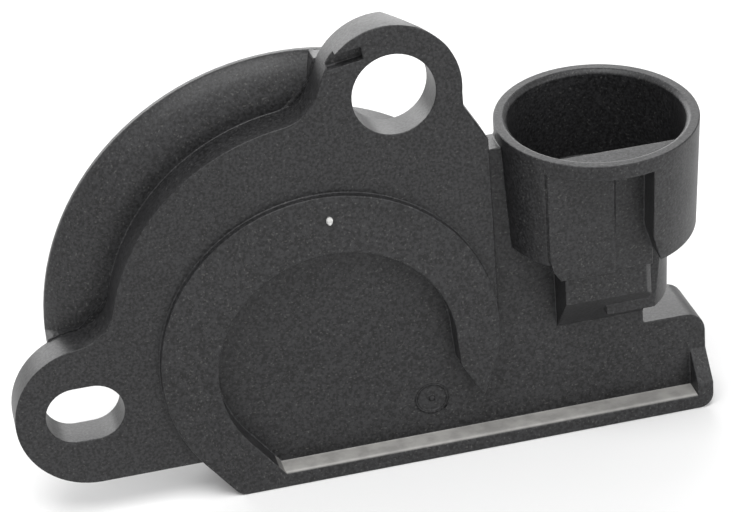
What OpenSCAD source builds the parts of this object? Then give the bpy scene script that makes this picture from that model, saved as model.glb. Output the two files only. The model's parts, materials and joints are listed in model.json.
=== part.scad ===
// Throttle position sensor: moulded housing with a round connector, and the sprung rotor inside.
// X runs to the right, Z up, and Y from the front face to the back.
// The origin is on the rotor's axis, in the plane of the housing's back.

/* [Levels from front to back] */
// Front face of the arch, ahead of the mounting plane
arch_front = 4.2; // [3.8:0.1:5]
// Step from the arch back to the front plate
plate_step = 0.7; // [0.4:0.1:1.2]
// Depth of the recessed floor inside the arch
recess_depth = 2.0; // [1.4:0.1:2.4]
// Thickness of the recessed floor's wall
floor_wall = 1.3; // [1:0.1:1.6]
// Depth of the housing behind the mounting plane
back_depth = 4.2; // [4:0.1:5]

/* [Arch and base] */
// Outer radius of the arch
arch_r = 15; // [14:0.1:16]
// How far the arch's centre lies below the rotor's axis
arch_drop = 3; // [2:0.1:4]
// Radius of the opening inside the arch
recess_r = 10.6; // [9.5:0.1:11.5]
// Sideways shift of the opening inside the arch
recess_shift = 0.5; // [0:0.1:1]
// How far the opening's centre lies below the arch's centre
recess_drop = 1; // [0.4:0.1:1.6]
// Direction in which the cut lower left corner faces, in degrees
corner_faces = 216.4; // [212:0.2:222]
// Height of the rotor's axis above the flat bottom edge
axis_height = 15.5; // [15:0.1:17]
// Width of the rim along the bottom and the right end
rim_w = 1.5; // [1.2:0.1:2]
// Distance from the rotor's axis to the right end
base_right = 34.5; // [33.5:0.1:37]
// How far the base block's top lies below the rotor's axis
block_drop = 6.8; // [6:0.1:7.2]
// Height of the rim's sloping end above the recess's bottom
rim_rise = 3.6; // [2.6:0.1:4.2]

/* [Front plate and shoulder] */
// Radius of the front plate's round edge
plate_r = 18.7; // [18:0.1:19.5]
// Distance from the rotor's axis to the plate's right edge
plate_right = 15.2; // [14.8:0.1:15.8]
// Radius of the concave corners between the plate and its ears
plate_fillet = 4; // [3:0.1:5]
// Radius of the shoulder behind the plate
shoulder_r = 23; // [22:0.1:24]
// How far the shoulder's back lies ahead of the housing's back
shoulder_in = 0.15; // [0.1:0.05:0.3]
// How far the shoulder's centre lies left of the rotor's axis
shoulder_shift = 0.9; // [0:0.1:1.2]
// How far the shoulder falls back at its edge
shoulder_fall = 2; // [1.4:0.1:2.4]
// Thickness of the shoulder's outer edge
shoulder_edge = 0.6; // [0.4:0.1:1]
// Width of the flat band between the plate and the shoulder's curve
shoulder_flat = 0.5; // [0.2:0.1:1]

/* [Screw ears] */
// Radius of the round screw hole
hole_r = 3.6; // [3:0.1:3.8]
// Sideways place of the round hole
hole_x = 7.4; // [6.8:0.1:8]
// Height of the round hole
hole_z = 19.9; // [19.6:0.1:21]
// Radius of the top ear
ear_r = 6.2; // [5.8:0.1:6.8]
// How far the top ear's outline lies left of its hole
ear_shift = 0.3; // [0:0.1:0.6]
// Width of the slotted hole
slot_w = 5.2; // [4.6:0.1:5.8]
// Length of the slotted hole
slot_len = 6.8; // [6:0.1:7.6]
// Sideways place of the slotted hole
slot_x = -21.8; // [-22.6:0.1:-21.4]
// Height of the slotted hole
slot_z = -4.9; // [-5.6:0.1:-4.2]
// Radius of the left ear
slot_ear_r = 6.65; // [6.2:0.05:7.2]
// Length of the small notch in the top ear
notch_len = 2.6; // [1.5:0.1:3]
// Width of the notch
notch_w = 1.1; // [0.8:0.1:1.3]
// Depth of the notch
notch_depth = 0.9; // [0.5:0.1:1.5]
// Width of the flat seat round the screw holes on the back
seat_w = 1.6; // [1.2:0.1:2]
// Width of the flat bevel at the top ear's back
ear_bevel = 1.5; // [1:0.1:1.6]
// Direction of that bevel, in degrees from the right
ear_bevel_turn = 47; // [40:1:55]

/* [Connector] */
// Sideways place of the connector's mouth
shroud_x = 25.4; // [25:0.1:25.6]
// How far the middle of the mouth lies ahead of the mounting plane
shroud_y = 1.2; // [1:0.1:1.6]
// How far the connector leans to the front, in degrees
lean = 6; // [5:0.5:7]
// Outer radius of the connector's mouth
shroud_r = 8.9; // [8.7:0.1:9.1]
// Radius of the socket inside the connector
socket_r = 7.7; // [7.4:0.1:7.8]
// Height of the connector's mouth above the rotor's axis
mouth_z = 14; // [13.6:0.1:15]
// Length of the connector along its own axis
shroud_len = 10.7; // [10:0.1:11]
// Thickness of the socket's floor
socket_floor = 2; // [1.6:0.1:2.4]
// Height of the round band at the mouth
band_h = 1.4; // [1.2:0.1:2]
// Distance of the flat panel ahead of the connector's axis
flat_y = 6; // [5.7:0.1:6.2]
// How far the flat panel reaches right of the connector's axis
flat_right = 2.4; // [2:0.1:2.8]
// Length of the flat panel below the mouth
panel_len = 12.4; // [12:0.1:12.8]
// Thickness of the raised pad on the flat panel
pad_t = 0.25; // [0.15:0.05:0.4]
// How far the pad's edge lies left of the connector's axis
pad_right = 0.3; // [0:0.1:0.8]
// Wall behind the flat panel
flat_wall = 1.1; // [0.9:0.1:1.3]
// Draft of the connector's outside from mouth to underside
shroud_draft = 0.2; // [0:0.05:0.3]

/* [Neck and web] */
// Width of the neck under the connector
neck_w = 8; // [7.9:0.1:8.4]
// How far the neck's middle lies left of the connector's
neck_shift = 0.7; // [0.6:0.1:0.8]
// How far the neck's front lies ahead of the mounting plane
neck_front = 5.5; // [5:0.1:5.7]
// How far the neck's back lies behind the mounting plane
neck_back = 1.8; // [1.6:0.1:2.4]
// Height at which the neck's front turns back towards the floor
neck_turn = -1.7; // [-2:0.1:-1.2]
// Height at which the neck meets the floor
neck_foot = -5.5; // [-6:0.1:-5.2]
// How far the back of the web beside the neck lies behind the mounting plane
web_back = 1; // [0.6:0.1:1.6]
// How far the web's top lies below the mouth
web_drop = 1.2; // [1:0.1:1.6]
// Width of the bevel on the neck's right edge
neck_bevel = 0.6; // [0.4:0.1:0.8]
// Radius of the stub behind the neck, about the connector's axis
stub_r = 6.2; // [6:0.1:6.4]
// How far the stub's lower end lies from the mouth
stub_len = 17.7; // [17:0.1:18]

/* [Cover and cavity] */
// Radius of the cavity for the rotor's arm
cavity_r = 14.8; // [14.6:0.1:15]
// Width of the ledge under the cover
ledge_w = 1.1; // [0.9:0.1:1.3]
// Least wall round the cover
cover_rim = 1; // [0.8:0.1:1.1]
// Thickness of the cover
cover_t = 1.4; // [1.2:0.1:1.7]
// Thickness of the cover's gasket
gasket_t = 0.3; // [0.2:0.05:0.5]
// Gap round the cover
cover_gap = 0.1; // [0.05:0.05:0.15]
// Outer radius of the cover's pilot boss
boss_r = 10; // [9.8:0.1:10.6]
// Length of the pilot boss
boss_len = 3.2; // [3:0.1:4]
// Wall of the pilot boss
boss_wall = 1.4; // [1.2:0.1:1.5]
// Thickness of the pilot boss's end
boss_end = 1.5; // [1.4:0.1:1.8]
// Inner end of the cover's stops
stop_r = 7; // [6.9:0.05:7.2]
// Width of the cover's stops and of the rotor's lug
stop_w = 1.6; // [1.2:0.1:1.8]

/* [Element and terminals] */
// Radius of the element plate
element_r = 14.3; // [14:0.1:14.4]
// Thickness of the element plate
element_t = 0.8; // [0.6:0.1:0.9]
// Radius of the hole in the element plate
element_hole_r = 4.4; // [3.6:0.1:4.8]
// Thickness of the printed tracks
track_t = 0.1; // [0.08:0.02:0.14]
// Middle radius of the resistor track
resistor_r = 12; // [11.8:0.1:12.2]
// Middle radius of the collector track
collector_r = 8.2; // [8:0.1:8.4]
// Width of the resistor track
resistor_w = 2.2; // [1.8:0.1:2.4]
// Width of the collector track
collector_w = 1.8; // [1.6:0.1:2]
// Thickness of the terminals
terminal_t = 0.6; // [0.5:0.05:0.7]
// Width of the terminal blades
blade_w = 1; // [0.8:0.1:1.1]
// Height of the terminals' flat runs
run_w = 1; // [0.8:0.1:1.1]
// Spacing of the terminal blades
blade_pitch = 2; // [1.8:0.05:2.05]
// Spacing of the terminals' flat runs
run_pitch = 1.5; // [1.4:0.05:1.55]
// Height of the middle run below the rotor's axis
run_drop = 11.2; // [11:0.05:11.3]
// Length of the blades in the socket
blade_len = 4.4; // [3.6:0.1:4.8]
// Sideways place of the contact rivets
pad_x = 9.9; // [9.6:0.1:10.2]

/* [Rotor] */
// Radius of the rotor's hub
hub_r = 5; // [4.6:0.1:5.6]
// Radius of the rotor's journal
journal_r = 4.2; // [4:0.05:4.3]
// How far the wiper arm reaches past the resistor track's middle
arm_past = 1.9; // [1.7:0.1:2]
// Width of the arm at its tip
arm_w = 4; // [3.6:0.1:4.6]
// Thickness of the arm
arm_t = 1.25; // [1:0.05:1.35]
// Direction of the arm at rest, in degrees from the right
arm_rest = 175; // [170:1:178]
// Travel of the rotor, in degrees
travel = 95; // [80:1:96]
// Running clearance of the journal and the pivot pin
run_gap = 0.05; // [0.02:0.01:0.08]
// Gap between the wiper fingers and the tracks
finger_gap = 0.06; // [0.04:0.01:0.1]
// Radius of the drive socket
drive_r = 3.3; // [3:0.1:3.3]
// Distance between the drive socket's flats
drive_flats = 3.6; // [3.2:0.1:4.4]
// Depth of the drive socket
drive_depth = 4; // [3:0.1:4]
// Radius of the pivot pin
pivot_r = 1.2; // [1:0.1:1.4]

/* [Return spring] */
// Middle radius of the return spring
coil_r = 6.25; // [6.2:0.05:6.3]
// Wire diameter of the return spring
wire_d = 0.6; // [0.4:0.05:0.6]
// Whole turns of the return spring
coil_turns = 3; // [2:1:3]

/* [Hidden] */
$fn = 96;
// Overshoot of a cut past the face it starts from
over = 1;

// Levels along Y, where a lower value is nearer the front
y_back = 0;
y_mount = y_back - back_depth;
y_arch = y_mount - arch_front;
y_plate = y_arch + plate_step;
y_floor = y_arch + recess_depth;
y_cavity = y_floor + floor_wall;
y_cover = y_back - cover_t;
y_ledge = y_cover - gasket_t;
y_boss = y_back + boss_len;
y_boss_in = y_boss - boss_end;
y_element = y_cavity + element_t;
y_track = y_element + track_t;
y_pivot_boss = y_cavity + 1;
washer_t = 0.3;
y_rotor = y_pivot_boss + washer_t + run_gap;
arm_lift = 0.6;
y_arm = y_rotor + arm_lift;
y_arm_back = y_arm + arm_t;

// Places in the plate's plane, as [x, z]
arch_c = [0, -arch_drop];
recess_c = [recess_shift, -arch_drop - recess_drop];
ear_c = [hole_x - ear_shift, hole_z];
slot_ear_c = [slot_x + 0.6, slot_z - 0.3];
bottom_z = -axis_height;
// How far the cut corner's line lies inside the circle it leaves
corner_bite = 0.02;
block_z = -block_drop;
corner_n = [cos(corner_faces), sin(corner_faces)];

// Connector and terminal places
y_shroud = y_mount - shroud_y;
y_neck = y_mount + neck_back;
socket_depth = shroud_len - socket_floor;
shroud_z = mouth_z - shroud_len * cos(lean);
neck_x = shroud_x - neck_shift;
pocket_w = 2 * blade_pitch + blade_w + 0.2;
pocket_top = shroud_z - 1;
run_z = [for (i = [1, 0, -1]) -run_drop + i * run_pitch];
blade_x = [for (i = [-1, 0, 1]) shroud_x + i * blade_pitch];
well_top = -run_drop + 2.2;
well_bottom = -run_drop - 2.2;
well_right = blade_x[2] + blade_w / 2 + 1.4;
shoulder_c = [-shoulder_shift, 0];
arm_r = resistor_r + arm_past;
plug_r = 0.4;

body_r = cavity_r + ledge_w + cover_rim;
boss_in_r = boss_r - boss_wall;

function unit(v) = v / norm(v);

// Points of a round corner of radius r at b, between a and c
function corner_arc(a, b, c, r, steps = 6) =
    let (u = unit(a - b), v = unit(c - b), half = acos(u * v) / 2)
    let (m = b + unit(u + v) * r / sin(half), s = b + u * r / tan(half), e = b + v * r / tan(half))
    let (from = atan2(s[1] - m[1], s[0] - m[0]), to = atan2(e[1] - m[1], e[0] - m[0]))
    let (turn = to - from > 180 ? to - from - 360 : to - from < -180 ? to - from + 360 : to - from)
    [for (i = [0 : steps]) m + r * [cos(from + turn * i / steps), sin(from + turn * i / steps)]];

// Outline with a radius at each corner, given as [[x, z], radius]
function rounded(corners) = [
    for (i = [0 : len(corners) - 1])
        let (n = len(corners), a = corners[(i + n - 1) % n][0], b = corners[i][0], c = corners[(i + 1) % n][0])
        each corners[i][1] > 0 ? corner_arc(a, b, c, corners[i][1]) : [b]
];

// Centre of the circle of radius r that touches circles a and b from outside, on the given side
function touching(a, ra, b, rb, r, side) =
    let (d = norm(b - a), p = ra + r, q = rb + r, u = (b - a) / d)
    let (along = (p * p - q * q + d * d) / (2 * d))
    a + along * u + side * sqrt(p * p - along * along) * [-u[1], u[0]];

// X at height z on the cut corner's line, moved in by an inset
function corner_x(c, r, z) = c[0] + (r - (z - c[1]) * corner_n[1]) / corner_n[0];

// A flat piece between two levels, from an outline in the plate's plane
module slab(from, to) {
    translate([0, to, 0])
        rotate([90, 0, 0])
            linear_extrude(to - from)
                children();
}

// A round bar along Y between two levels
module bar(c, r, from, to) {
    translate([c[0], to, c[1]])
        rotate([90, 0, 0])
            cylinder(r = r, h = to - from);
}

// A ring along Y between two levels
module ring(c, outer, inner, from, to) {
    difference() {
        bar(c, outer, from, to);
        bar(c, inner, from - over, to + over);
    }
}

// Concave web between two circles
module web_fillet(a, ra, b, rb, side) {
    c = touching(a, ra, b, rb, plate_fillet, side);
    difference() {
        polygon([a, c, b]);
        translate(c)
            circle(plate_fillet);
    }
}

// The area inside the plate's right edge, the bottom edge and the cut corner
module body_limit(inset) {
    low = bottom_z + inset;
    high = 20;
    polygon([
        [plate_right - inset, 2 * high],
        [plate_right - inset, low],
        [corner_x(arch_c, arch_r - inset, low), low],
        [corner_x(arch_c, arch_r - inset, high), high],
        [corner_x(arch_c, arch_r - inset, high), 2 * high]
    ]);
}

module plate_outline() {
    ear_side = ear_c[0] + ear_r - 0.05;
    slope_z = ear_c[1] - ear_r / 3;
    ear_bottom = slot_ear_c[1] - slot_ear_r;
    intersection() {
        circle(plate_r);
        translate([-2 * plate_r, ear_bottom])
            square([2 * plate_r + plate_right, 4 * plate_r]);
    }
    translate(ear_c)
        circle(ear_r);
    polygon([
        ear_c,
        [ear_side, ear_c[1]],
        [ear_side, slope_z],
        [plate_right, slope_z - 1.74 * (plate_right - ear_side)],
        [plate_right, arch_c[1]],
        [0, 0]
    ]);
    translate(slot_ear_c)
        circle(slot_ear_r);
    polygon([
        slot_ear_c,
        [slot_ear_c[0], ear_bottom],
        [-arch_r + 5, ear_bottom],
        [0, 0]
    ]);
    web_fillet([0, 0], plate_r, ear_c, ear_r, 1);
    web_fillet([0, 0], plate_r, slot_ear_c, slot_ear_r, -1);
}

// Base block with the arch's lower left corner
module base_outline() {
    r = arch_r - corner_bite;
    polygon(rounded([
        [arch_c + r * corner_n, 0],
        [[corner_x(arch_c, r, bottom_z), bottom_z], 1.4],
        [[base_right, bottom_z], 1.3],
        [[base_right, block_z], 1.8],
        [[arch_c[0], block_z], 0]
    ]));
}

module front_outline() {
    round_top(arch_c, arch_r);
    base_outline();
}

// A circle without the part below the cut corner
module round_top(c, r) {
    intersection() {
        translate(c)
            circle(r);
        translate([c[0] - 2 * r, c[1] + r * corner_n[1] - 1.5])
            square([4 * r, 4 * r]);
    }
}

// What is cut down to the recessed floor
module recess_outline() {
    rim_z = bottom_z + rim_w;
    leg_out = arch_c + arch_r * [cos(-10), sin(-10)];
    leg_in = recess_c + [recess_r, 0];
    r = recess_r - corner_bite;
    round_top(recess_c, recess_r);
    polygon(concat(
        [recess_c, leg_in, leg_in + [0.2, -2.5], leg_in + [2.1, -6], leg_out],
        [[plate_right + 0.6, leg_out[1]], [plate_right + 0.6, block_z + 3], [base_right - rim_w, block_z + 3]],
        [[base_right - rim_w, rim_z], [corner_x(recess_c, r, rim_z), rim_z], recess_c + r * corner_n]
    ));
}

// What stays free behind a screw ear: a round seat, open to the outside
module seat_cut(c, r) {
    slab(y_mount, y_back + over)
        translate(c) {
            circle(r);
            rotate(atan2(c[1], c[0]))
                translate([0, -0.9 * r])
                    square([4 * r, 1.8 * r]);
        }
}

// An ear's outline where it passes over the shoulder, with a straight side in place of the fillet
module ear_over_shoulder(c, r, side) {
    m = touching([0, 0], plate_r, c, r, plate_fillet, side);
    translate(c)
        circle(r + 0.15);
    polygon([
        c,
        c + (m - c) * (r - 0.3) / (r + plate_fillet),
        m * (plate_r - 0.3) / (plate_r + plate_fillet),
        [0, 0]
    ]);
}

// The quarter round shoulder behind the plate
module shoulder() {
    start_r = plate_r + shoulder_flat;
    run = shoulder_r - start_r;
    slope = 2 * atan(shoulder_fall / run);
    curve_r = run / sin(slope);
    edge_y = shoulder_fall + shoulder_edge;
    back = back_depth - shoulder_in;
    inner = body_r - 2;
    from = 68;
    to = 191;
    profile = concat(
        [[inner, back], [inner, 0]],
        [for (i = [0 : 8]) [start_r + curve_r * sin(slope * i / 8), curve_r * (1 - cos(slope * i / 8))]],
        [[shoulder_r, edge_y], [shoulder_r - (back - edge_y), back]]
    );
    difference() {
        union() {
            translate([shoulder_c[0], y_mount, shoulder_c[1]])
                rotate([90, 0, 0])
                    rotate([0, 0, from])
                        rotate_extrude(angle = to - from)
                            polygon([for (p = profile) [p[0], -p[1]]]);
            // Backs up the ears where they pass over the curve
            slab(y_mount - 0.1, y_mount + shoulder_fall)
                intersection() {
                    union() {
                        ear_over_shoulder(ear_c, ear_r, 1);
                        ear_over_shoulder(slot_ear_c, slot_ear_r, -1);
                    }
                    translate(shoulder_c)
                        circle(shoulder_r);
                    translate(shoulder_c)
                        polygon([[0, 0], for (a = [from, (from + to) / 2, to]) 3 * shoulder_r * [cos(a), sin(a)]]);
                }
        }
        // The body's own wall takes over here
        bar([0, 0], body_r - cover_rim / 2, y_mount - 1, y_back + over);
        seat_cut([hole_x, hole_z], hole_r + seat_w);
        seat_cut([slot_x, slot_z], slot_w / 2 + seat_w + 0.8);
    }
}

// Flat bevel at the upper right of the top ear, from its front edge to its back
module ear_back_bevel() {
    depth = y_mount - y_plate;
    slope = ear_bevel / depth;
    translate([ear_c[0], y_mount, ear_c[1]])
        rotate([0, -ear_bevel_turn, 0])
            translate([0, 0, -2 * ear_r])
                linear_extrude(4 * ear_r)
                    polygon([
                        [ear_r + 0.05 - ear_bevel - slope, 1],
                        [2 * ear_r, 1],
                        [2 * ear_r, -depth],
                        [ear_r + 0.05, -depth]
                    ]);
}

// Places its children on the connector's axis, with the mouth's middle as their origin
module leaning() {
    translate([shroud_x, y_shroud, mouth_z])
        rotate([lean, 0, 0])
            children();
}

// Outline of the flat panel seen from the front
module panel_outline(right) {
    polygon([
        [-6.3, -band_h],
        [-6.2, 2.7 - panel_len],
        [-5.9, 1.1 - panel_len],
        [-5.2, -panel_len],
        [right + 0.8, -panel_len],
        [right + 0.8, 1.7 - panel_len],
        [right + 0.4, 3 - panel_len],
        [right, 4.4 - panel_len],
        [right, -band_h]
    ]);
}

// The connector's outside, with a flat panel cut into its front and a raised pad on that
module shroud_body() {
    leaning() {
        difference() {
            translate([0, 0, -shroud_len])
                cylinder(r1 = shroud_r - shroud_draft, r2 = shroud_r, h = shroud_len);
            slab(-shroud_r - over, -flat_y) {
                panel_outline(flat_right);
                translate([-shroud_r - over, -panel_len])
                    square([shroud_r, panel_len - band_h]);
            }
        }
        slab(-flat_y, -flat_y + 4)
            panel_outline(flat_right);
        slab(-flat_y - pad_t, -flat_y + 0.1)
            intersection() {
                panel_outline(flat_right);
                translate([-shroud_r, -panel_len])
                    square([shroud_r - pad_right, panel_len]);
            }
    }
}

// The block between the connector and the base, with the round stub behind its right side
module neck() {
    left = neck_x - neck_w / 2;
    right = neck_x + neck_w / 2;
    front = y_mount - neck_front;
    intersection() {
        translate([left, 0, 0])
            rotate([90, 0, 90])
                linear_extrude(neck_w)
                    polygon([
                        [front, shroud_z - 0.6],
                        [front, neck_turn],
                        [y_floor, neck_foot],
                        [y_floor, block_z - 0.5],
                        [y_neck, block_z - 0.5],
                        [y_neck, shroud_z + 0.6],
                        [y_mount, shroud_z + 0.4]
                    ]);
        translate([0, 0, block_z - 1])
            linear_extrude(shroud_z - block_z + 3)
                polygon([
                    [left - 1, front - 1],
                    [right - neck_bevel - 1, front - 1],
                    [right + 1, front + neck_bevel + 1],
                    [right + 1, y_neck + 1],
                    [left - 1, y_neck + 1]
                ]);
    }
    intersection() {
        leaning()
            translate([0, 0, -stub_len])
                cylinder(r = stub_r, h = stub_len - shroud_len + 1);
        translate([neck_x, front + 1.2, shroud_z - 10])
            cube([2 * stub_r, y_neck - front - 1.2, 12]);
    }
}

// Space for the plug, with a flat side behind the panel
module socket_space() {
    inner_flat = flat_y - flat_wall;
    leaning() {
        difference() {
            translate([0, 0, -socket_depth])
                cylinder(r = socket_r, h = socket_depth + over);
            translate([-shroud_r, -shroud_r, -socket_depth - over])
                cube([2 * shroud_r, shroud_r - inner_flat, socket_depth - band_h + 0.6 + over]);
        }
        translate([0, 0, -0.35])
            cylinder(r1 = socket_r, r2 = socket_r + 0.7, h = 0.7);
    }
}

module cavity_outline() {
    intersection() {
        circle(cavity_r);
        body_limit(ledge_w + cover_rim);
    }
    translate([0, well_bottom])
        square([well_right, well_top - well_bottom]);
}

module cover_outline(gap) {
    intersection() {
        circle(cavity_r + ledge_w - gap);
        body_limit(cover_rim + gap);
    }
    translate([0, well_bottom - 1 + gap])
        square([well_right + 1 - gap, well_top - well_bottom + 2 - 2 * gap]);
}

// The terminals' channel through the neck, closed by resin
module potting_space(grow = 0) {
    left = shroud_x - pocket_w / 2;
    translate([left, y_element, well_top - grow])
        cube([pocket_w, y_neck - y_element, block_z - well_top + grow + 0.5]);
    translate([left, y_element - 0.4, block_z + 0.5])
        cube([pocket_w, y_neck + grow - y_element + 0.4, pocket_top - block_z - 0.5]);
}

module housing() {
    rim_z = bottom_z + rim_w;
    slot_r = slot_w / 2;
    slot_half = slot_len / 2 - slot_r;
    color([0.06, 0.06, 0.065]) {
        difference() {
            union() {
                difference() {
                    union() {
                        slab(y_plate, y_mount)
                            plate_outline();
                        slab(y_arch, y_back)
                            front_outline();
                        slab(y_mount - 0.5, y_back)
                            intersection() {
                                circle(body_r);
                                body_limit(0);
                            }
                    }
                    slab(y_arch - over, y_floor)
                        recess_outline();
                    // Sloping end of the rim on the right
                    translate([base_right - rim_w - over, 0, 0])
                        rotate([90, 0, 90])
                            linear_extrude(rim_w + 2 * over)
                                polygon([
                                    [y_arch, rim_z + 1],
                                    [y_floor, rim_z + rim_rise],
                                    [y_floor, block_z + over],
                                    [y_arch - over, block_z + over],
                                    [y_arch - over, rim_z + 1]
                                ]);
                }
                shoulder();
                slab(y_floor, y_mount + web_back)
                    translate([plate_right - 1, block_z - 0.5]) {
                        square([neck_x - plate_right, shroud_z + 1 - block_z]);
                        square([shroud_x - shroud_r + 2 - plate_right, mouth_z - web_drop - block_z + 0.5]);
                    }
                neck();
                shroud_body();
            }
            slab(y_cavity, y_back + over)
                cavity_outline();
            slab(y_ledge, y_back + over)
                cover_outline(0);
            socket_space();
            potting_space(1);
            leaning()
                for (x = blade_x)
                    translate([x - shroud_x - blade_w / 2, -terminal_t / 2, -shroud_len - 1.5])
                        cube([blade_w, terminal_t, socket_floor + 1.5 + over]);
            ear_back_bevel();
            bar([hole_x, hole_z], hole_r, y_plate - over, y_mount + over);
            // Slotted hole
            for (side = [-1, 1])
                bar([slot_x + side * slot_half, slot_z], slot_r, y_plate - over, y_mount + over);
            slab(y_plate - over, y_mount + over)
                translate([slot_x - slot_half, slot_z - slot_r])
                    square([2 * slot_half, slot_w]);
            // Notch from the top ear's left edge
            slab(y_plate - over, y_plate + notch_depth)
                translate([ear_c[0] - sqrt(ear_r * ear_r - 16) - 0.5, ear_c[1] + 4.2])
                    rotate(9)
                        translate([0, -notch_w])
                            square([notch_len + 0.5, notch_w]);
        }
        // Boss for the rotor's pivot pin
        difference() {
            bar([0, 0], pivot_r + 1.4, y_cavity - 0.2, y_pivot_boss);
            bar([0, 0], pivot_r + run_gap, y_cavity - 0.1, y_pivot_boss + over);
        }
        // Moulded dial ring without figures, and the gate mark on the arch
        ring([8.8, -10.4], 1.55, 1.3, y_floor - 0.1, y_floor + 0.1);
        bar([8.8, -10.4], 0.3, y_floor - 0.1, y_floor + 0.1);
        bar([0.8, 9.8], 0.35, y_arch - 0.15, y_arch + 0.1);
    }
}

module back_cover() {
    stop_turn = 2 * asin(stop_w / 2 / stop_r) + 1.5;
    wire_turn = 2 * asin((wire_d + 0.1) / 2 / stop_r);
    hook_turn = asin((stop_w / 2 + wire_d / 2 + 0.08) / stop_r);
    stops = [arm_rest + stop_turn, arm_rest - travel - stop_turn - wire_turn, hook_angle - hook_turn];
    color([0.09, 0.09, 0.09]) {
        difference() {
            union() {
                slab(y_cover, y_back)
                    cover_outline(cover_gap);
                bar([0, 0], boss_r, y_cover, y_boss);
            }
            bar([0, 0], boss_in_r, y_cover - over, y_boss_in);
            bar([0, 0], bush_r, y_boss_in - over, y_boss + over);
            bar([0, 0], seal_r, y_boss - seal_t, y_boss + over);
        }
        for (a = stops)
            rotate([0, -a, 0])
                translate([stop_r, y_cover + 0.1, -stop_w / 2])
                    cube([boss_in_r - stop_r + 0.3, y_boss_in - y_cover, stop_w]);
    }
}

bush_r = journal_r + 0.9;
seal_r = journal_r + 1.5;
seal_t = 0.7;
hook_angle = 300;

module cover_gasket() {
    color([0.16, 0.15, 0.15])
        slab(y_ledge, y_cover)
            difference() {
                cover_outline(cover_gap);
                cavity_outline();
            }
}

module element_plate() {
    color([0.86, 0.84, 0.78])
        difference() {
            slab(y_cavity, y_element) {
                intersection() {
                    circle(element_r);
                    body_limit(ledge_w + cover_rim + 0.1);
                }
                translate([pad_x - 4, well_bottom + 0.1])
                    square([6, well_top - well_bottom - 0.2]);
            }
            bar([0, 0], element_hole_r, y_cavity - over, y_element + over);
            for (z = run_z)
                bar([pad_x, z], plug_r, y_cavity - over, y_element + over);
        }
}

// Part of a ring on the element plate, from one direction to another
module track(middle, width, from, to) {
    translate([0, y_track, 0])
        rotate([90, 0, 0])
            rotate([0, 0, from])
                rotate_extrude(angle = to - from)
                    translate([middle - width / 2, 0])
                        square([width, track_t]);
}

track_from = arm_rest - travel - 14;
track_to = arm_rest + 10;

module resistor_track() {
    color([0.07, 0.06, 0.06])
        track(resistor_r, resistor_w, track_from, track_to);
}

module collector_track() {
    color([0.55, 0.53, 0.5])
        track(collector_r, collector_w, track_from, track_to);
}

// Printed lines: two to the resistor's ends, one to the collector
module conductor_traces() {
    line_w = 0.8;
    color([0.78, 0.77, 0.74]) {
        track(resistor_r, line_w, -38, track_from);
        track(collector_r, line_w, -52, track_from);
        track(resistor_r, line_w, track_to, 284);
        for (i = [0 : 2])
            slab(y_element, y_track)
                pad_line(i);
    }
}

// Outline of the line that leads to one contact pad
module pad_line(i) {
    ends = [
        resistor_r * [cos(-38), sin(-38)],
        collector_r * [cos(-52), sin(-52)],
        resistor_r * [cos(284), sin(284)]
    ];
    a = ends[i];
    b = [pad_x - 1.35, run_z[i]];
    n = 0.4 * unit([a[1] - b[1], b[0] - a[0]]);
    polygon([a + n, a - n, b - n, b + n]);
}

module contact_rivet(i) {
    head_y = y_element + terminal_t;
    color([0.8, 0.68, 0.36]) {
        bar([pad_x, run_z[i]], plug_r, y_cavity, head_y + 0.1);
        bar([pad_x, run_z[i]], plug_r + 0.2, head_y, head_y + 0.3);
    }
}

// Bent strip from the element plate to its blade in the socket
module terminal(i) {
    x = blade_x[i];
    z = run_z[i];
    y = y_element + terminal_t / 2;
    // Where the upright meets the connector's leaning axis
    bend = (y - y_shroud) / sin(lean);
    tip = blade_len - socket_depth;
    w = blade_w / 2;
    color([0.8, 0.8, 0.78])
        difference() {
            union() {
                slab(y_element, y_element + terminal_t) {
                    translate([pad_x - 0.9, z - run_w / 2])
                        square([x + w - pad_x + 0.9, run_w]);
                    translate([x - w, z - run_w / 2])
                        square([blade_w, mouth_z - bend * cos(lean) - z + run_w / 2]);
                }
                leaning()
                    translate([x - shroud_x, 0, 0])
                        slab(-terminal_t / 2, terminal_t / 2)
                            polygon([[-w, -bend], [w, -bend], [w, tip - 0.8], [0.2, tip], [-0.2, tip], [-w, tip - 0.8]]);
            }
            bar([pad_x, z], plug_r, y_element - over, y_element + terminal_t + over);
        }
}

module terminal_potting() {
    color([0.1, 0.09, 0.08])
        difference() {
            potting_space();
            for (i = [0 : 2])
                terminal(i);
        }
}

module bearing_bush() {
    color([0.72, 0.6, 0.36])
        ring([0, 0], bush_r, journal_r + run_gap, y_boss_in, y_boss - seal_t);
}

module shaft_seal() {
    color([0.1, 0.1, 0.1])
        ring([0, 0], seal_r, journal_r + run_gap, y_boss - seal_t, y_boss);
}

module thrust_washer() {
    color([0.75, 0.75, 0.74])
        ring([0, 0], pivot_r + 1.4, pivot_r + 0.1, y_pivot_boss, y_pivot_boss + washer_t);
}

// The rotor's own pieces are drawn with the arm along X, then turned to the rest direction
module at_rest() {
    rotate([0, -arm_rest, 0])
        children();
}

y_rotor_end = y_boss - 0.2;
y_drive = y_rotor_end - drive_depth;
pin_end = y_rotor + 2;
wiper_t = 0.2;
rivet_r = 0.4;
finger_reach = 4;
finger_x = [for (r = [collector_r, resistor_r]) sqrt(r * r - finger_reach * finger_reach)];
rivet_x = [finger_x[0] + 0.4, finger_x[1]];

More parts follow.
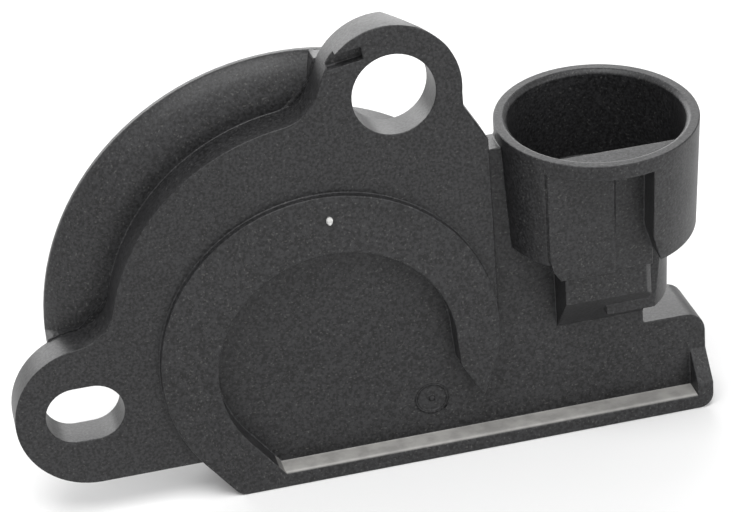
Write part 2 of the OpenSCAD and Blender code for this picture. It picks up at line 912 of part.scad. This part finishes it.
module rotor() {
    color([0.86, 0.83, 0.72])
        at_rest()
            difference() {
                union() {
                    bar([0, 0], hub_r, y_rotor, y_arm_back);
                    bar([0, 0], journal_r, y_arm_back - 0.5, y_rotor_end);
                    slab(y_arm, y_arm_back) {
                        polygon([
                            [0, hub_r - 0.6],
                            [arm_r - arm_w / 2, arm_w / 2],
                            [arm_r - arm_w / 2, -arm_w / 2],
                            [0, -hub_r + 0.6]
                        ]);
                        translate([arm_r - arm_w / 2, 0])
                            circle(arm_w / 2);
                    }
                    // Lug for the spring's leg and the stops
                    translate([stop_r - 0.1, y_arm_back - 0.2, -stop_w / 2])
                        cube([boss_in_r - 0.4 - stop_r, 1.4, stop_w]);
                }
                bar([0, 0], pivot_r, y_rotor - over, pin_end);
                slab(y_drive, y_rotor_end + over)
                    intersection() {
                        circle(drive_r);
                        square([drive_flats, 3 * drive_r], center = true);
                    }
                for (x = rivet_x)
                    bar([x, 0], rivet_r, y_arm - over, y_arm_back + over);
            }
}

module pivot_pin() {
    color([0.7, 0.7, 0.71])
        bar([0, 0], pivot_r, y_cavity, pin_end);
}

// One contact finger, bent down from the wiper's plate to its track
module finger(x, width) {
    low = y_track + finger_gap;
    tip = -finger_reach;
    translate([x - width / 2, 0, 0])
        rotate([90, 0, 90])
            linear_extrude(width)
                polygon([
                    [y_arm, -0.9],
                    [y_arm, -1.3],
                    [low + wiper_t, tip - 0.1],
                    [low + 2 * wiper_t, tip - 0.5],
                    [low + wiper_t, tip - 0.6],
                    [low, tip],
                    [y_arm - wiper_t, -1.2],
                    [y_arm - wiper_t, -0.9]
                ]);
}

module wiper() {
    from = finger_x[0] - 1.1;
    to = finger_x[1] + 1.2;
    color([0.82, 0.72, 0.42])
        at_rest() {
            difference() {
                slab(y_arm - wiper_t, y_arm)
                    polygon(rounded([
                        [[from, -1.2], 0.3],
                        [[to, -1.2], 0.3],
                        [[to, 1.2], 0.6],
                        [[from, 1.2], 0.6]
                    ]));
                for (x = rivet_x)
                    bar([x, 0], rivet_r, y_arm - over, y_arm + over);
            }
            for (x = finger_x)
                for (i = [-1 : 1])
                    finger(x + 0.6 * i, 0.45);
        }
}

module wiper_rivet(i) {
    color([0.8, 0.68, 0.36])
        at_rest() {
            bar([rivet_x[i], 0], rivet_r, y_arm - wiper_t - 0.1, y_arm_back);
            bar([rivet_x[i], 0], rivet_r + 0.3, y_arm - wiper_t - 0.2, y_arm - wiper_t);
        }
}

module drive_clip() {
    clip_t = 0.25;
    color([0.7, 0.7, 0.71])
        at_rest()
            translate([drive_flats / 2 - clip_t, y_drive, -1.4])
                cube([clip_t, drive_depth - 0.3, 2.8]);
}

// Points along the return spring: a leg, the coil and the other leg
function spring_path() =
    let (lug_turn = asin((stop_w / 2 + wire_d / 2 + 0.08) / (stop_r - 0.1)))
    let (first = arm_rest - lug_turn, sweep = 360 * coil_turns + hook_angle - first)
    let (steps = 24 * coil_turns, low = y_arm_back + 0.15 + wire_d / 2, high = y_boss_in - 0.35 - wire_d / 2)
    let (leg_r = boss_in_r - 0.5, last = first + sweep)
    concat(
        [[leg_r * cos(first), low, leg_r * sin(first)]],
        [for (i = [0 : steps])
            let (a = first + sweep * i / steps)
            [coil_r * cos(a), low + (high - low) * i / steps, coil_r * sin(a)]],
        [[leg_r * cos(last), high, leg_r * sin(last)]]
    );

module return_spring() {
    path = spring_path();
    count = len(path);
    sides = 8;
    // Ring of points across the wire at each point of the path
    rings = [
        for (i = [0 : count - 1])
            let (t = unit(path[min(i + 1, count - 1)] - path[max(i - 1, 0)]))
            let (n = unit(cross(t, [0, 1, 0])), b = cross(t, n))
            for (k = [0 : sides - 1])
                path[i] + wire_d / 2 * (cos(360 * k / sides) * n + sin(360 * k / sides) * b)
    ];
    walls = [
        for (i = [0 : count - 2])
            for (k = [0 : sides - 1])
                let (m = (k + 1) % sides)
                [i * sides + k, i * sides + m, (i + 1) * sides + m, (i + 1) * sides + k]
    ];
    ends = [
        [for (k = [sides - 1 : -1 : 0]) k],
        [for (k = [0 : sides - 1]) (count - 1) * sides + k]
    ];
    color([0.62, 0.62, 0.63])
        polyhedron(points = rings, faces = concat(walls, ends));
}

housing();
back_cover();
cover_gasket();
element_plate();
resistor_track();
collector_track();
conductor_traces();
contact_rivet(0);  // contact_rivet_1
contact_rivet(1);  // contact_rivet_2
contact_rivet(2);  // contact_rivet_3
terminal(0);  // terminal_1
terminal(1);  // terminal_2
terminal(2);  // terminal_3
terminal_potting();
bearing_bush();
shaft_seal();
thrust_washer();
return_spring();
rotor();
pivot_pin();
wiper();
wiper_rivet(0);  // wiper_rivet_1
wiper_rivet(1);  // wiper_rivet_2
drive_clip();
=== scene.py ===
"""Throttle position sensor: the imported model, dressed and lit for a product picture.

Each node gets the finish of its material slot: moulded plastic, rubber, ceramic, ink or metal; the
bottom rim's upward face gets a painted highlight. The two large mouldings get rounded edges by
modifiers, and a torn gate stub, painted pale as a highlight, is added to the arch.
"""

import json
import math

import bmesh
import bpy
from mathutils import Matrix, Vector


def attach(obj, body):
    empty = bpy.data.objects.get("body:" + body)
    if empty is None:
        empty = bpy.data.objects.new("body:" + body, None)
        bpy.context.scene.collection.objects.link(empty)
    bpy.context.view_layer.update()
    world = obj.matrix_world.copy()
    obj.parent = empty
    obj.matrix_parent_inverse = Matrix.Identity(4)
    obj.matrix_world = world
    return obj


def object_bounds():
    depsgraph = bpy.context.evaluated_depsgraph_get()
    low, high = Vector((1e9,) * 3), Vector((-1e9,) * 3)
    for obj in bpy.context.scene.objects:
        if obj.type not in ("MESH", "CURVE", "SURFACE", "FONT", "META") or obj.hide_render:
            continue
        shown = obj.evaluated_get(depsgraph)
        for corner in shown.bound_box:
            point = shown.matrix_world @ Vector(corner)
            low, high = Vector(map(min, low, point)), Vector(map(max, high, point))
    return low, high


# Lengths and places are in millimetres in the row frame, unless a comment says metres
MM = 0.001

# The camera, from the photograph's perspective; its near and far limits are in metres
CAMERA_AT = (-30.63, -194.42, 103.47)
CAMERA_LOOKS = (0.1613, 0.8739, -0.4586)
CAMERA_UP = (0.1723, 0.4326, 0.885)
LENS = 122.8
SENSOR = 36.0
SEEN_FROM, SEEN_TO = 0.005, 20

# Soft lamps that point at the row's origin: name, place and size in metres, power in watts
LAMPS = [
    ("key", (-0.06, -0.17, 0.42), (0.3, 0.3), 1.6),
    ("fill", (0.3, -0.35, 0.15), (0.3, 0.3), 0.7),
    ("back", (-0.03, 0.42, 0.17), (0.6, 0.24), 2.05),
]
# The white room's strength as a light, and where the camera or a reflection sees it
ROOM_STRENGTHS = (0.45, 1.0)

# The floor: its half width in metres, its drop below the sensor, and its paper
FLOOR_REACH = 2.0
FLOOR_DROP = 0.02
PAPER_COLOUR = (0.9, 0.9, 0.9, 1)
PAPER_ROUGHNESS = 0.9

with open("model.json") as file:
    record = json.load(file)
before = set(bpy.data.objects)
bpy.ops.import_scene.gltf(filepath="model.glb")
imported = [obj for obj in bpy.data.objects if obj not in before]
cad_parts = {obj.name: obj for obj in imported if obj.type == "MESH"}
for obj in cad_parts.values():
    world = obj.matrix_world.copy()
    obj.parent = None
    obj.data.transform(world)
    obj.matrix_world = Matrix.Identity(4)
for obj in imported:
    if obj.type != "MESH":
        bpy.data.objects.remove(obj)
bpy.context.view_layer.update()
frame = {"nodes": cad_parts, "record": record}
nodes = frame["nodes"]


# Node helpers

UNIT = (0.0, 1.0)
# Where a colour mix node keeps its factor, its two colours and its result
MIX_FACTOR, MIX_FIRST, MIX_SECOND, MIX_RESULT = 0, 6, 7, 2


def new_group(name, inputs, outputs):
    """An empty shader node group with float or colour sockets."""
    group = bpy.data.node_groups.new(name, "ShaderNodeTree")
    for label, kind, default in inputs:
        socket = group.interface.new_socket(label, in_out="INPUT", socket_type=kind)
        socket.default_value = default
    for label, kind in outputs:
        group.interface.new_socket(label, in_out="OUTPUT", socket_type=kind)
    return group, group.nodes.new("NodeGroupInput"), group.nodes.new("NodeGroupOutput")


def new_material(name):
    """A material and its shader."""
    material = bpy.data.materials.new(name)
    material.use_nodes = True
    return material, material.node_tree.nodes["Principled BSDF"]


def feed(tree, socket, value):
    """Links another node's output to a socket, or writes a plain value there."""
    if isinstance(value, bpy.types.NodeSocket):
        tree.links.new(value, socket)
    else:
        socket.default_value = value


def noise(tree, place, scale, detail):
    """A noise from nought to one; the scale counts its lumps in each metre."""
    node = tree.nodes.new("ShaderNodeTexNoise")
    feed(tree, node.inputs["Vector"], place)
    feed(tree, node.inputs["Scale"], scale)
    feed(tree, node.inputs["Detail"], detail)
    return node.outputs["Fac"]


def maths(tree, operation, first, second):
    """The result of an operation on two numbers."""
    node = tree.nodes.new("ShaderNodeMath")
    node.operation = operation
    feed(tree, node.inputs[0], first)
    feed(tree, node.inputs[1], second)
    return node.outputs[0]


def vector_maths(tree, operation, *values):
    """The result of an operation on one or two vectors."""
    node = tree.nodes.new("ShaderNodeVectorMath")
    node.operation = operation
    for socket, value in zip(node.inputs, values):
        feed(tree, socket, value)
    return node.outputs[0]


def spread(tree, value, reach, onto):
    """A value moved from the range reach to the range onto, and kept inside it."""
    node = tree.nodes.new("ShaderNodeMapRange")
    feed(tree, node.inputs["Value"], value)
    feed(tree, node.inputs["From Min"], reach[0])
    feed(tree, node.inputs["From Max"], reach[1])
    feed(tree, node.inputs["To Min"], onto[0])
    feed(tree, node.inputs["To Max"], onto[1])
    return node.outputs["Result"]


def mix_colour(tree, factor, first, second):
    """The first colour, turned into the second by the factor."""
    node = tree.nodes.new("ShaderNodeMix")
    node.data_type = "RGBA"
    feed(tree, node.inputs[MIX_FACTOR], factor)
    feed(tree, node.inputs[MIX_FIRST], first)
    feed(tree, node.inputs[MIX_SECOND], second)
    return node.outputs[MIX_RESULT]


def relief(tree, shader, height, strength, depth):
    """Gives a shader the small bumps of a height."""
    node = tree.nodes.new("ShaderNodeBump")
    feed(tree, node.inputs["Strength"], strength)
    feed(tree, node.inputs["Distance"], depth * MM)
    feed(tree, node.inputs["Height"], height)
    feed(tree, shader.inputs["Normal"], node.outputs[0])


def object_place(tree):
    """Where a point is on its own piece."""
    return tree.nodes.new("ShaderNodeTexCoord").outputs["Object"]


def inside(tree, place, middle, half):
    """One where a place is inside a box, and nought outside it."""
    away = vector_maths(tree, "SUBTRACT", place, [c * MM for c in middle])
    share = vector_maths(tree, "DIVIDE", away, [c * MM for c in half])
    parts = tree.nodes.new("ShaderNodeSeparateXYZ")
    feed(tree, parts.inputs[0], vector_maths(tree, "ABSOLUTE", share))
    most = maths(tree, "MAXIMUM", parts.outputs[0], parts.outputs[1])
    most = maths(tree, "MAXIMUM", most, parts.outputs[2])
    return maths(tree, "LESS_THAN", most, 1.0)


# Moulded plastic and rubber

# The mould's spark texture: its usual scale, its detail, the range of the noise that it uses and
# its depth
GRAIN = 4200.0
GRAIN_DETAIL = 3.0
GRAIN_REACH = (0.38, 0.62)
GRAIN_DEPTH = 0.04
# The plastic's flow marks: scale and detail, and what they do to the tone and the roughness
FLOW = (140.0, 4.0)
FLOW_REACH = (0.3, 0.7)
FLOW_TONE = (0.9, 1.1)
FLOW_ROUGHNESS = (-0.05, 0.07)
# Specks of dust: scale and detail, how much there is, its colour and the roughness it adds
SPECKS = (5200.0, 0.0)
SPECKS_REACH = (0.7, 0.78)
DUST = 0.1
DUST_COLOUR = (0.36, 0.35, 0.33, 1)
DUST_ROUGHNESS = 0.5
# How strongly a moulding reflects where it is seen straight on
PLASTIC_SHINE = 0.34

# The upward face of the bottom rim, which gets a painted highlight: the middle and half size of
# its box
RIM_LEDGE = ((14.5, -7.4, -13.9), (20.5, 1.15, 0.6))
# Painted highlight of pale patches on upward faces: how far up a face has to look, the most that
# it holds, its patches and its colour
UPWARD_REACH = (0.45, 0.8)
UPWARD_SHARE = (0.0, 0.7)
PATCHES = (700.0, 4.0)
PATCHES_REACH = (0.35, 0.6)
PATCHES_SHARE = (0.75, 1.0)
RIM_HIGHLIGHT_COLOUR = (0.5, 0.49, 0.47, 1)


def moulded_skin():
    """The skin of a moulding: mottled spark texture, flow marks and a little dust."""
    group, given, made = new_group(
        "moulded_skin",
        [
            ("Colour", "NodeSocketColor", (0.05, 0.05, 0.05, 1)),
            ("Roughness", "NodeSocketFloat", 0.4),
            ("Grain", "NodeSocketFloat", GRAIN),
            ("Dust", "NodeSocketFloat", DUST),
            ("Mottle", "NodeSocketFloat", 0.1),
        ],
        [
            ("Colour", "NodeSocketColor"),
            ("Roughness", "NodeSocketFloat"),
            ("Height", "NodeSocketFloat"),
        ],
    )
    place = object_place(group)
    fine = noise(group, place, given.outputs["Grain"], GRAIN_DETAIL)
    flow = noise(group, place, *FLOW)
    specks = spread(group, noise(group, place, *SPECKS), SPECKS_REACH, UNIT)
    dust_and_highlight = maths(group, "MULTIPLY", specks, given.outputs["Dust"])
    mottle = spread(group, fine, GRAIN_REACH, (-1.0, 1.0))
    mottle = maths(group, "MULTIPLY", mottle, given.outputs["Mottle"])
    tone = maths(group, "ADD", spread(group, flow, FLOW_REACH, FLOW_TONE), mottle)
    shaded = group.nodes.new("ShaderNodeVectorMath")
    shaded.operation = "SCALE"
    feed(group, shaded.inputs[0], given.outputs["Colour"])
    feed(group, shaded.inputs["Scale"], tone)
    colour = mix_colour(group, dust_and_highlight, shaded.outputs[0], DUST_COLOUR)
    rough = spread(group, flow, FLOW_REACH, FLOW_ROUGHNESS)
    rough = maths(group, "ADD", given.outputs["Roughness"], rough)
    rough = maths(group, "ADD", rough, maths(group, "MULTIPLY", dust_and_highlight, DUST_ROUGHNESS))
    feed(group, made.inputs["Colour"], colour)
    feed(group, made.inputs["Roughness"], rough)
    feed(group, made.inputs["Height"], fine)
    return group


MOULDED = moulded_skin()


def upward_highlight(tree, ledge):
    """Painted highlight: pale patches on the upward faces of a ledge."""
    place = object_place(tree)
    facing = tree.nodes.new("ShaderNodeSeparateXYZ")
    feed(tree, facing.inputs[0], tree.nodes.new("ShaderNodeTexCoord").outputs["Normal"])
    upward = spread(tree, facing.outputs[2], UPWARD_REACH, UPWARD_SHARE)
    patchy = spread(tree, noise(tree, place, *PATCHES), PATCHES_REACH, PATCHES_SHARE)
    dust_and_highlight = maths(tree, "MULTIPLY", upward, patchy)
    return maths(tree, "MULTIPLY", inside(tree, place, *ledge), dust_and_highlight)


def moulding(name, colour, roughness, grain=GRAIN, mottle=0.1, bump=0.1, ledge=None):
    """A moulded plastic or rubber; where a ledge is named, its upward faces get a painted
    highlight.
    """
    material, shader = new_material(name)
    tree = material.node_tree
    skin = tree.nodes.new("ShaderNodeGroup")
    skin.node_tree = MOULDED
    skin.inputs["Colour"].default_value = (*colour, 1)
    skin.inputs["Roughness"].default_value = roughness
    skin.inputs["Grain"].default_value = grain
    skin.inputs["Dust"].default_value = DUST
    skin.inputs["Mottle"].default_value = mottle
    relief(tree, shader, skin.outputs["Height"], bump, GRAIN_DEPTH)
    surface = skin.outputs["Colour"]
    if ledge:
        # The ledge's upward faces are painted pale, as a painted highlight
        surface = mix_colour(tree, upward_highlight(tree, ledge), surface, RIM_HIGHLIGHT_COLOUR)
    feed(tree, shader.inputs["Base Color"], surface)
    feed(tree, shader.inputs["Roughness"], skin.outputs["Roughness"])
    shader.inputs["Specular IOR Level"].default_value = PLASTIC_SHINE
    return material


# Metal

# Tarnish: scale and detail, how far it darkens the metal, and the roughness it adds
TARNISH = (900.0, 4.0)
TARNISH_TONE_REACH = (0.4, 0.7)
TARNISH_ROUGH_REACH = (0.3, 0.7)
TARNISH_DARKENS = 0.7
TARNISH_ROUGHNESS = 0.15
# The fine marks of drawing and stamping: scale and detail, strength and depth
DRAWN_MARKS = (12000.0, 2.0)
DRAWN_STRENGTH = 0.08
DRAWN_DEPTH = 0.03


def metal(name, colour, roughness):
    """Plain metal with fine drawn marks and tarnish."""
    material, shader = new_material(name)
    tree = material.node_tree
    place = object_place(tree)
    tarnish = noise(tree, place, *TARNISH)
    darker = tuple(c * TARNISH_DARKENS for c in colour)
    dark = spread(tree, tarnish, TARNISH_TONE_REACH, UNIT)
    mixed = mix_colour(tree, dark, (*colour, 1), (*darker, 1))
    most = roughness + TARNISH_ROUGHNESS
    rough = spread(tree, tarnish, TARNISH_ROUGH_REACH, (roughness, most))
    feed(tree, shader.inputs["Base Color"], mixed)
    feed(tree, shader.inputs["Roughness"], rough)
    relief(tree, shader, noise(tree, place, *DRAWN_MARKS), DRAWN_STRENGTH, DRAWN_DEPTH)
    shader.inputs["Metallic"].default_value = 1.0
    return material


# The finish of each material slot: name, colour and roughness
FINISHES = {
    "housing_plastic": moulding(
        "housing_plastic",
        (0.018, 0.018, 0.019),
        0.42,
        grain=4000.0,
        mottle=0.55,
        bump=0.25,
        # The bottom rim's upward face gets a painted highlight
        ledge=RIM_LEDGE,
    ),
    "cover_plastic": moulding("cover_plastic", (0.022, 0.022, 0.022), 0.5),
    "gasket_rubber": moulding("gasket_rubber", (0.02, 0.019, 0.018), 0.8),
    "element_ceramic": moulding("element_ceramic", (0.7, 0.68, 0.6), 0.45),
    "resistor_ink": moulding("resistor_ink", (0.012, 0.011, 0.011), 0.55),
    "silver_ink": metal("silver_ink", (0.62, 0.6, 0.56), 0.5),
    "rivet_brass": metal("rivet_brass", (0.75, 0.58, 0.26), 0.3),
    "terminal_tin": metal("terminal_tin", (0.72, 0.72, 0.7), 0.25),
    "potting_resin": moulding("potting_resin", (0.03, 0.024, 0.018), 0.2),
    "bush_bronze": metal("bush_bronze", (0.56, 0.4, 0.2), 0.45),
    "seal_rubber": moulding("seal_rubber", (0.012, 0.012, 0.012), 0.6),
    "steel": metal("steel", (0.6, 0.6, 0.61), 0.3),
    "rotor_plastic": moulding("rotor_plastic", (0.68, 0.62, 0.46), 0.45),
    "wiper_bronze": metal("wiper_bronze", (0.74, 0.56, 0.26), 0.3),
}

for part in frame["record"]["subparts"]:
    piece = nodes[part["node"]]
    piece.data.materials.clear()
    piece.data.materials.append(FINISHES[part["material_slot"]])


# Rounded edges

# The width of a plain rounded edge and of the rim's slope, and the degrees that make an edge sharp
EDGE_WIDTH = 0.12
SLOPE_WIDTH = 0.4
SHARP_ANGLE = 30
# Points this near are joined, and faces that differ by fewer degrees than this become one flat
WELD_GAP = 0.015
FLAT_ANGLE = 0.4

# Narrow ledges by the ears, too tight to be rounded: the middle and half size of each box
TIGHT_PLACES = [
    ((-20.2, -4.2, 3.2), (3.0, 1.4, 2.4)),
    ((0.0, -4.2, 20.8), (1.5, 1.8, 2.4)),
]
# The upper front edge of the bottom rim, which has a broad slope
RIM_SLOPE = ((14.0, -8.4, -14.0), (20.5, 0.2, 0.2))


def edge_choice(angle, plain):
    """Weighs each sharp edge by how far it is rounded, and keeps it crisp where it isn't."""
    group = bpy.data.node_groups.new("edge_choice", "GeometryNodeTree")
    group.interface.new_socket("Geometry", in_out="INPUT", socket_type="NodeSocketGeometry")
    group.interface.new_socket("Geometry", in_out="OUTPUT", socket_type="NodeSocketGeometry")
    given = group.nodes.new("NodeGroupInput")
    made = group.nodes.new("NodeGroupOutput")
    corner = group.nodes.new("GeometryNodeInputMeshEdgeAngle").outputs["Unsigned Angle"]
    sharp = maths(group, "GREATER_THAN", corner, math.radians(angle))
    place = group.nodes.new("GeometryNodeInputPosition").outputs[0]
    tight = 0.0
    for middle, half in TIGHT_PLACES:
        tight = maths(group, "MAXIMUM", tight, inside(group, place, middle, half))
    crisp = maths(group, "MULTIPLY", sharp, tight)
    rounded = maths(group, "SUBTRACT", sharp, crisp)
    slope = spread(group, inside(group, place, *RIM_SLOPE), UNIT, (plain, 1.0))
    weight = maths(group, "MULTIPLY", rounded, slope)
    last = given.outputs[0]
    for label, kind, value in (
        ("bevel_weight_edge", "FLOAT", weight),
        ("sharp_edge", "BOOLEAN", crisp),
    ):
        store = group.nodes.new("GeometryNodeStoreNamedAttribute")
        store.data_type = kind
        store.domain = "EDGE"
        feed(group, store.inputs["Name"], label)
        feed(group, store.inputs["Geometry"], last)
        feed(group, store.inputs["Value"], value)
        last = store.outputs[0]
    feed(group, made.inputs[0], last)
    return group


EDGES = edge_choice(SHARP_ANGLE, EDGE_WIDTH / SLOPE_WIDTH)


def soften(piece):
    """Rounds a moulding's edges and keeps its flats flat."""
    weld = piece.modifiers.new("weld", "WELD")
    weld.merge_threshold = WELD_GAP * MM
    flats = piece.modifiers.new("flats", "DECIMATE")
    flats.decimate_type = "DISSOLVE"
    flats.angle_limit = math.radians(FLAT_ANGLE)
    choice = piece.modifiers.new("choice", "NODES")
    choice.node_group = EDGES
    edge = piece.modifiers.new("edge", "BEVEL")
    edge.width = SLOPE_WIDTH * MM
    edge.segments = 2
    edge.limit_method = "WEIGHT"
    edge.use_clamp_overlap = False
    shade = piece.modifiers.new("shade", "WEIGHTED_NORMAL")
    shade.mode = "FACE_AREA"
    shade.weight = 100
    shade.keep_sharp = True
    for polygon in piece.data.polygons:
        polygon.use_smooth = True


soften(nodes["housing"])
soften(nodes["back_cover"])


# The gate stub

# The middle of the gate mark on the arch's face, and the stub's half width and height
GATE_AT = (0.8, -8.5, 9.8)
GATE_WIDE = 0.38
GATE_HIGH = 0.3
# The stub's rings from the foot inwards, as shares of the half width and of the height
STUB_RINGS = ((1.0, 0.0), (0.9, 0.5), (0.72, 0.9), (0.5, 1.0), (0.25, 0.8))
STUB_STEPS = 20
# Its width from side to side and the height of its dished middle, as shares, and its torn edge
STUB_NARROW = 0.8
STUB_MIDDLE = 0.72
STUB_TEAR = 0.12
STUB_TONGUES = 3


def gate_stub(at, wide, high):
    """The broken end of the moulding's gate: a low stub with a torn, dished top, painted pale grey
    as a highlight.
    """
    points = []
    for reach, rise in STUB_RINGS:
        for i in range(STUB_STEPS):
            turn = 2 * math.pi * i / STUB_STEPS
            torn = 1 + STUB_TEAR * math.sin(STUB_TONGUES * turn) * rise
            across = wide * reach * torn
            x = math.cos(turn) * across * STUB_NARROW
            points.append((x, -rise * high * torn, math.sin(turn) * across))
    points.append((0, -STUB_MIDDLE * high, 0))
    faces = []
    for ring in range(len(STUB_RINGS) - 1):
        low, up = ring * STUB_STEPS, (ring + 1) * STUB_STEPS
        for i in range(STUB_STEPS):
            j = (i + 1) % STUB_STEPS
            faces.append((low + i, low + j, up + j, up + i))
    last = (len(STUB_RINGS) - 1) * STUB_STEPS
    top = len(points) - 1
    faces += [(last + i, last + (i + 1) % STUB_STEPS, top) for i in range(STUB_STEPS)]
    faces.append(tuple(reversed(range(STUB_STEPS))))
    mesh = bpy.data.meshes.new("gate_stub")
    mesh.from_pydata([(Vector(at) + Vector(p)) * MM for p in points], [], faces)
    shape = bmesh.new()
    shape.from_mesh(mesh)
    bmesh.ops.recalc_face_normals(shape, faces=shape.faces)
    shape.to_mesh(mesh)
    shape.free()
    mesh.shade_smooth()
    stub = bpy.data.objects.new("gate_stub", mesh)
    bpy.context.scene.collection.objects.link(stub)
    # The stub's pale grey is a painted highlight on the black moulding
    mesh.materials.append(moulding("gate_stub_painted_highlight", (0.55, 0.55, 0.54), 0.6, bump=0.3))
    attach(stub, "case")


gate_stub(GATE_AT, GATE_WIDE, GATE_HIGH)


# Stage, lights and camera


def build_stage():
    """A wide sheet of white paper, just under the sensor."""
    low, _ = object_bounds()
    size = FLOOR_REACH
    corners = [(-size, -size, 0), (size, -size, 0), (size, size, 0), (-size, size, 0)]
    floor = bpy.data.meshes.new("floor")
    floor.from_pydata(corners, [], [(0, 1, 2, 3)])
    ground = bpy.data.objects.new("floor", floor)
    ground.location.z = low.z - FLOOR_DROP * MM
    bpy.context.scene.collection.objects.link(ground)
    material, shader = new_material("floor_paper")
    shader.inputs["Base Color"].default_value = PAPER_COLOUR
    shader.inputs["Roughness"].default_value = PAPER_ROUGHNESS
    floor.materials.append(material)


def area_light(name, at, size, power):
    """A soft lamp that points at the row's origin and doesn't show itself."""
    data = bpy.data.lights.new(name, "AREA")
    data.shape = "RECTANGLE"
    data.size, data.size_y = size
    data.energy = power
    lamp = bpy.data.objects.new(name, data)
    lamp.location = at
    lamp.rotation_mode = "QUATERNION"
    lamp.rotation_quaternion = (-Vector(at)).to_track_quat("-Z", "Y")
    lamp.visible_camera = False
    bpy.context.scene.collection.objects.link(lamp)


def build_world():
    """An even white room, which lights less than it shows in reflections."""
    world = bpy.data.worlds.new("studio")
    bpy.context.scene.world = world
    world.use_nodes = True
    tree = world.node_tree
    back = tree.nodes["Background"]
    back.inputs["Color"].default_value = (1, 1, 1, 1)
    ray = tree.nodes.new("ShaderNodeLightPath").outputs
    seen = maths(tree, "MAXIMUM", ray["Is Camera Ray"], ray["Is Transmission Ray"])
    seen = maths(tree, "MAXIMUM", seen, ray["Is Glossy Ray"])
    feed(tree, back.inputs["Strength"], spread(tree, seen, UNIT, ROOM_STRENGTHS))


def build_camera():
    """The photograph's camera."""
    ahead = Vector(CAMERA_LOOKS).normalized()
    right = ahead.cross(Vector(CAMERA_UP)).normalized()
    up = right.cross(ahead)
    data = bpy.data.cameras.new("camera")
    data.lens = LENS
    data.sensor_width = SENSOR
    data.clip_start, data.clip_end = SEEN_FROM, SEEN_TO
    camera = bpy.data.objects.new("camera", data)
    turn = Matrix((right, up, -ahead)).transposed()
    camera.matrix_world = Matrix.Translation(Vector(CAMERA_AT) * MM) @ turn.to_4x4()
    bpy.context.scene.collection.objects.link(camera)
    bpy.context.scene.camera = camera


build_stage()
build_world()
for lamp_name, lamp_at, lamp_size, lamp_power in LAMPS:
    area_light(lamp_name, lamp_at, lamp_size, lamp_power)
build_camera()
bpy.context.scene.view_settings.view_transform = "Standard"
